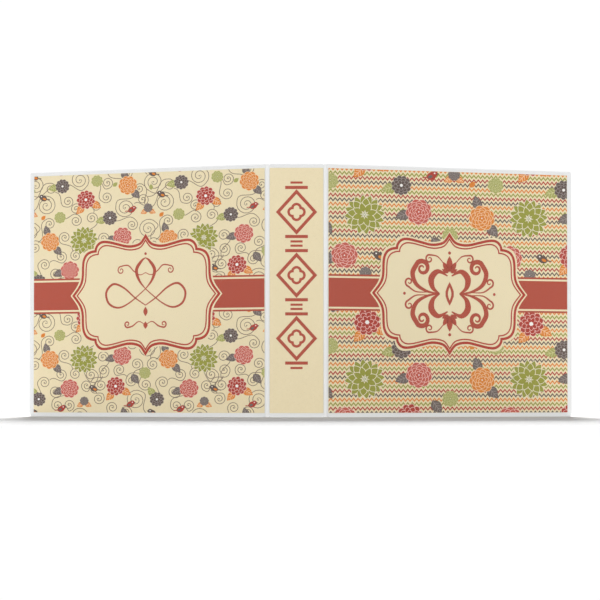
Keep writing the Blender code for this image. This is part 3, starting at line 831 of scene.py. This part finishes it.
def curl(centre, radius, start, turns, winding):
    """A spiral from its outer end inwards."""
    route = []
    for i in range(CURL_STEPS + 1):
        t = i / CURL_STEPS
        angle = start + winding * math.tau * turns * t
        reach = radius * (1 - 0.82 * t)
        route.append((centre[0] + reach * math.cos(angle), centre[1] + reach * math.sin(angle)))
    return route


def pen(art, points, thin, thick, layer=ORNAMENT_LAYER):
    """One pen stroke and its mirror image."""
    for k, route in enumerate((points, mirrored(points))):
        art.stroke("brick_red", route, swelling(route, thin, thick), layer + 0.4 * k)


def bead(art, x, y, radius):
    for side in (1, -1) if x else (1,):
        art.fill("brick_red", disc((side * x, y), radius, 16), ORNAMENT_LAYER)


def light_flourish(art):
    """A looping pen knot on the back label, over a small row of curls and diamonds."""
    loop = [(0, -14), (16, -4), (34, 10), (50, 15), (61, 4), (57, -11), (42, -17), (24, -10), (0, 8)]
    pen(art, smooth(loop, 8), 1.4, 3.2)
    crest = [(0, 8), (-10, 20), (-14, 34), (-6, 46), (0, 50)]
    pen(art, smooth(crest, 8), 1.3, 4.8)
    arm = smooth([(0, 30), (9, 27), (18, 32), (27, 40), (38, 39)], 8)
    pen(art, arm + curl((38, 33.5), 5.5, math.pi / 2, 1.3, -1)[1:], 1.0, 1.8)
    bead(art, 0, 55.5, 1.9)
    art.fill("brick_red", petal((0, -14), -math.pi / 2, 2, 15, 3.4, 1), ORNAMENT_LAYER + 1)
    foot = smooth([(0, -41), (10, -36), (20, -42), (28, -44)], 8)
    pen(art, foot + curl((28, -39.5), 4.5, -math.pi / 2, 1.2, 1)[1:], 0.9, 2.2)
    art.fill("brick_red", petal((0, -41), math.pi / 2, -5, 5, 3.4, 1), ORNAMENT_LAYER + 1)


def rich_flourish(art):
    """Damask-like scrollwork on the front label: heavy scrolls round a palmette at each end."""
    palmette = ((90, 24, 4.6), (58, 19, 3.6), (122, 19, 3.6), (28, 13, 2.6), (152, 13, 2.6))
    for tip in (1, -1):
        layer = ORNAMENT_LAYER + (0 if tip > 0 else 0.8)
        for angle, reach, half_width in palmette:
            lobe = petal((0, tip * 27), math.radians(tip * angle), 2, reach, half_width, 0.75)
            art.fill("brick_red", lobe, ORNAMENT_LAYER + 1)
        heavy = [(3, tip * 24), (17, tip * 30), (27, tip * 21), (25, tip * 8), (15, 0)]
        pen(art, smooth(heavy, 9), 1.8, 9.0, layer)
        scroll = [(15, 0), (33, tip * 3), (49, tip * 12), (55, tip * 27), (49, tip * 39)]
        scroll_end = curl((40.5, tip * 34), 10.5, tip * 0.55, 1.35, tip)[1:]
        pen(art, smooth(scroll, 9) + scroll_end, 1.8, 7.0, layer)
        tendril = smooth([(8, tip * 40), (18, tip * 50), (29, tip * 52)], 8)
        tendril += curl((30, tip * 46.5), 6, tip * math.pi / 2, 1.2, -tip)[1:]
        pen(art, tendril, 1.2, 2.4)
        outer = smooth([(33, tip * 2), (50, tip * 2.5), (61, tip * 9)], 8)
        outer += curl((60, tip * 15.5), 6.5, -tip * math.pi / 2, 1.2, tip)[1:]
        pen(art, outer, 1.2, 2.6)
        bead(art, 0, tip * 55, 2.2)
    art.fill("brick_red", petal((0, 0), math.pi / 2, -16, 16, 6.5, 1), ORNAMENT_LAYER + 1)
    art.fill("cream", petal((0, 0), math.pi / 2, -9, 9, 2.6, 1), ORNAMENT_LAYER + 2)
    bead(art, 67, 0, 2.0)


# The printer's cut leaves each label a little off the middle of its paper.
for cover, flourish, middle in (
    ("back_cover", light_flourish, (-2.2 * MM, -3.2 * MM)),
    ("front_cover", rich_flourish, (-0.5 * MM, -2.4 * MM)),
):
    label = Artwork()
    draw_band_and_label(label)
    flourish(label)
    print_on(f"{cover}_insert", f"{cover}_print", f"{cover}_label", label.finished(), (MM, MM), middle)

# --- Spine ornament ---
# The spine's print is plain cream with an upright border ornament in red line work.
SPINE_LINE = 4.2
ORNAMENT_TOP = 145.5  # above the middle of the paper
ORNAMENT_LENGTH = 251
ORNAMENT_PARTS = 3


def lozenge(half_width, half_height, y):
    return [(0, y + half_height), (half_width, y), (0, y - half_height), (-half_width, y)]


def quatrefoil(size, y):
    """Four round lobes about a centre."""
    points = []
    for i in range(48):
        angle = math.tau * i / 48
        reach = size * (0.72 + 0.28 * abs(math.cos(2 * angle)) ** 0.8)
        points.append((reach * math.cos(angle), y + reach * math.sin(angle)))
    return points


spine_art = Artwork()
for part in range(ORNAMENT_PARTS):
    middle = ORNAMENT_TOP - (part + 0.5) * (ORNAMENT_LENGTH / ORNAMENT_PARTS)
    spine_art.stroke("brick_red", lozenge(24.5, 27, middle), SPINE_LINE, 1, closed=True)
    spine_art.stroke("brick_red", quatrefoil(10.5, middle), SPINE_LINE * 0.8, 2, closed=True)
    for sign in (1, -1):
        for reach, height, width in ((15, 32.5, SPINE_LINE), (8, 39, SPINE_LINE * 0.7)):
            bar = [(-reach, middle + sign * height), (reach, middle + sign * height)]
            spine_art.stroke("brick_red", bar, width, 1.5)
print_on("spine_insert", "spine_print", "spine_ornament", spine_art.finished(), (MM, MM))

# --- Weld seams ---
# A hot bar presses the vinyl sheets together round each board. It leaves a low rounded bead in
# the same white vinyl near every panel's edge, outside and inside.
SEAM_FROM_EDGE = 2.5 * MM
SEAM_PROFILE = ((-0.5, 0.0), (-0.3, 0.17), (0.0, 0.24), (0.3, 0.17), (0.5, 0.0))  # mm: across, height
SEAM_CORNER = 2.5 * MM


def seam_loop(half, inset):
    """A rounded rectangle, inset from a panel's half size."""
    points = []
    reach = SEAM_CORNER - inset
    for sign_x, sign_y, quarter in ((1, 1, 0), (-1, 1, 1), (-1, -1, 2), (1, -1, 3)):
        centre_x = sign_x * (half[0] - SEAM_FROM_EDGE - SEAM_CORNER)
        centre_y = sign_y * (half[1] - SEAM_FROM_EDGE - SEAM_CORNER)
        for i in range(7):
            angle = (quarter + i / 6) * math.pi / 2
            points.append((centre_x + reach * math.cos(angle), centre_y + reach * math.sin(angle)))
    return points


for panel in ("spine", "front_cover", "back_cover"):
    centre, across, normal, half = face_of(f"{panel}_outer_skin")
    depths = [vertex.co.dot(normal) for vertex in nodes[f"{panel}_liner"].data.vertices]
    inside = centre + (min(depths) - centre.dot(normal)) * normal
    bead_mesh = bmesh.new()
    for face_middle, outwards in ((centre, normal), (inside, -normal)):
        loops = []
        for offset, height in SEAM_PROFILE:
            loop = []
            for u, v in seam_loop(half, offset * MM):
                place = face_middle + u * across + Vector((0, 0, v)) + height * MM * outwards
                loop.append(bead_mesh.verts.new(place))
            loops.append(loop)
        for outer, inner in zip(loops, loops[1:]):
            for i in range(len(outer)):
                face = bead_mesh.faces.new((outer[i - 1], outer[i], inner[i], inner[i - 1]))
                face.normal_update()
                if face.normal.dot(outwards) < 0:
                    face.normal_flip()
    seam = add_piece(f"{panel}_weld_seam", bead_mesh, white_vinyl)
    seam.data.shade_smooth()
    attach(seam, panel)

# --- Ring mechanism ---
# A pressed steel cover plate, six wire half rings, two rivets and two levers, all nickel
# plated: bright, faintly warm, with soft handling marks and the press's rounded edges.
HANDLING_MARK = 22 * MM
PLATING_RIPPLE = 3.85 * MM
nickel, nickel_tree, nickel_shader = add_material("nickel_plate", "CBC7BF", 0.2, Metallic=1.0)
nickel_place = add_node(nickel_tree, "ShaderNodeTexCoord").outputs["Object"]
mark_sizes = {"Vector": nickel_place, "Scale": 1 / HANDLING_MARK, "Detail": 4.0}
marks = add_node(nickel_tree, "ShaderNodeTexNoise", mark_sizes).outputs["Fac"]
gloss = add_node(nickel_tree, "ShaderNodeMapRange", {"Value": marks, "To Min": 0.13, "To Max": 0.3})
nickel_tree.links.new(gloss.outputs["Result"], nickel_shader.inputs["Roughness"])
ripple_sizes = {"Vector": nickel_place, "Scale": 1 / PLATING_RIPPLE, "Detail": 2.0}
ripple = add_node(nickel_tree, "ShaderNodeTexNoise", ripple_sizes).outputs["Fac"]
nickel_relief = {"Strength": 0.15, "Distance": 0.05 * MM, "Height": ripple}
nickel_bump = add_node(nickel_tree, "ShaderNodeBump", nickel_relief)
nickel_tree.links.new(nickel_bump.outputs["Normal"], nickel_shader.inputs["Normal"])

# The blades and lever pins are bare spring steel, rolled along their length.
ROLLING_LINES = 0.25 * MM
steel, steel_tree, steel_shader = add_material("rolled_spring_steel", "A3A4A6", 0.36, Metallic=1.0)
steel_place = add_node(steel_tree, "ShaderNodeTexCoord").outputs["Object"]
line_sizes = {0: steel_place, 1: (1 / ROLLING_LINES, 1 / ROLLING_LINES, 0.02 / ROLLING_LINES)}
stretch = add_node(steel_tree, "ShaderNodeVectorMath", line_sizes, operation="MULTIPLY").outputs["Vector"]
lines = add_node(steel_tree, "ShaderNodeTexNoise", {"Vector": stretch, "Scale": 1.0, "Detail": 3.0})
steel_relief = {"Strength": 0.3, "Distance": 0.02 * MM, "Height": lines.outputs["Fac"]}
steel_bump = add_node(steel_tree, "ShaderNodeBump", steel_relief)
steel_tree.links.new(steel_bump.outputs["Normal"], steel_shader.inputs["Normal"])


def finish_metal(node_name, body, material, edge=0.0):
    """Replaces a CAD solid by the same solid with smooth curves and a small rounded edge."""
    mesh = nodes[node_name].data.copy()
    mesh.materials.clear()
    shell = bmesh.new()
    shell.from_mesh(mesh)
    bmesh.ops.remove_doubles(shell, verts=shell.verts, dist=0.004 * MM)
    bmesh.ops.dissolve_limit(shell, angle_limit=math.radians(0.5), verts=shell.verts, edges=shell.edges)
    shell.to_mesh(mesh)
    shell.free()
    mesh.shade_smooth()
    mesh.set_sharp_from_angle(angle=math.radians(35))
    piece = add_piece(f"{node_name}_metal", mesh, material)
    if edge:
        rounding = piece.modifiers.new("rounding", "BEVEL")
        rounding.width, rounding.segments = edge, 2
        rounding.limit_method, rounding.angle_limit = "ANGLE", math.radians(40)
        rounding.harden_normals = True
    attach(piece, body)
    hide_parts(node_name)


finish_metal("ring_cover_plate", "spine", nickel, 0.2 * MM)
for name in ("upper_rivet", "lower_rivet"):
    finish_metal(name, "spine", nickel)
for side in ("left", "right"):
    finish_metal(f"{side}_blade", f"{side}_rings", steel, 0.1 * MM)
    for place in ("lower", "middle", "upper"):
        finish_metal(f"{side}_ring_{place}", f"{side}_rings", nickel)
for end in ("top", "bottom"):
    finish_metal(f"{end}_lever", f"{end}_lever", nickel, 0.25 * MM)
    finish_metal(f"{end}_lever_pin", "spine", steel)

# --- Page protectors ---
# Five sleeves of clear polypropylene film, glossy and faintly hazy, each welded to a punched
# strip of milky plastic and holding a sheet of off-white card.
SLEEVE_WAVES = (62.5 * MM, 1.5, 0.3, 0.6 * MM)
STRIP_FROSTING = (0.71 * MM, 2.0, 0.2, 0.03 * MM)
page_film = wavy_plastic("clear_polypropylene", "EFF3F5", 0.16, SLEEVE_WAVES, IOR=1.49, Alpha=0.1)
milky = wavy_plastic("milky_polypropylene", "E6E9EA", 0.45, STRIP_FROSTING, IOR=1.49)
card_stock = linen_stock("off_white_card", "F1EEE4", "EAE6DA")
PAGE_PLACES = {  # page: degrees from straight in, and offset across the rings
    "page_1": (-54, 10 * MM),
    "page_2": (-44, 5 * MM),
    "page_3": (0, 0),
    "page_4": (44, -5 * MM),
    "page_5": (54, -10 * MM),
}
RING_MIDDLE = Vector((0, 27.5 * MM, 167.5 * MM))
RING_REACH = 22 * MM
WELD_FROM_HOLES = 7.1 * MM
WELD_LENGTH = 304 * MM
WELD_PITCH = 2.0 * MM
WELD_MARK = (0.7 * MM, 1.2 * MM)
WELD_LIFT = 0.74 * MM  # of a mark's top from the page's middle plane
WELD_HEIGHT = 0.06 * MM

# The strip's weld shows as a row of small pressed marks on both sides of the film.
weld_inputs = {"Mark": "Geometry", "Count": "Int", "Pitch": "Float", "Plastic": "Material"}
weld_tree, given = new_tree("weld_marks", weld_inputs)
weld_step = add_node(weld_tree, "ShaderNodeCombineXYZ", {"Z": given["Pitch"]}).outputs["Vector"]
weld_row = add_node(weld_tree, "GeometryNodeMeshLine", {"Count": given["Count"], "Offset": weld_step})
end_tree(weld_tree, weld_row.outputs["Mesh"], given["Mark"], given["Plastic"])

mark = bmesh.new()
for side in (-1, 1):
    base, top = [], []
    for x, z in ((-0.5, -0.5), (0.5, -0.5), (0.5, 0.5), (-0.5, 0.5)):
        base.append(mark.verts.new((x * WELD_MARK[0], side * (WELD_LIFT - WELD_HEIGHT), z * WELD_MARK[1])))
        top.append(mark.verts.new((0.6 * x * WELD_MARK[0], side * WELD_LIFT, 0.7 * z * WELD_MARK[1])))
    mark.faces.new(top)
    mark.faces.new(base)
    for i in range(4):
        mark.faces.new((base[i - 1], base[i], top[i], top[i - 1]))
bmesh.ops.recalc_face_normals(mark, faces=mark.faces)
mark_mesh = bpy.data.meshes.new("weld_mark")
mark.to_mesh(mark_mesh)
mark.free()
weld_count = int(WELD_LENGTH / WELD_PITCH)
weld_values = {"Count": weld_count, "Pitch": WELD_PITCH, "Plastic": milky}
weld_line = built(weld_tree, weld_values, mark_mesh)
weld_line.transform(Matrix.Translation((0, 0, -(weld_count - 1) * WELD_PITCH / 2)))

for page, (turn, offset) in PAGE_PLACES.items():
    paint(f"{page}_front_film", page_film)
    paint(f"{page}_back_film", page_film)
    paint(f"{page}_binding_strip", milky)
    paint(f"{page}_card", card_stock)
    root = math.sqrt(RING_REACH**2 - offset**2)
    swing = Matrix.Rotation(math.radians(90 - turn), 4, "Z")
    from_rings = Matrix.Translation((root + WELD_FROM_HOLES, offset, 0))
    marks_mesh = weld_line.copy()
    marks_mesh.transform(Matrix.Translation(RING_MIDDLE) @ swing @ from_rings)
    row = add_piece(f"{page}_weld_marks", marks_mesh, milky)
    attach(row, page)
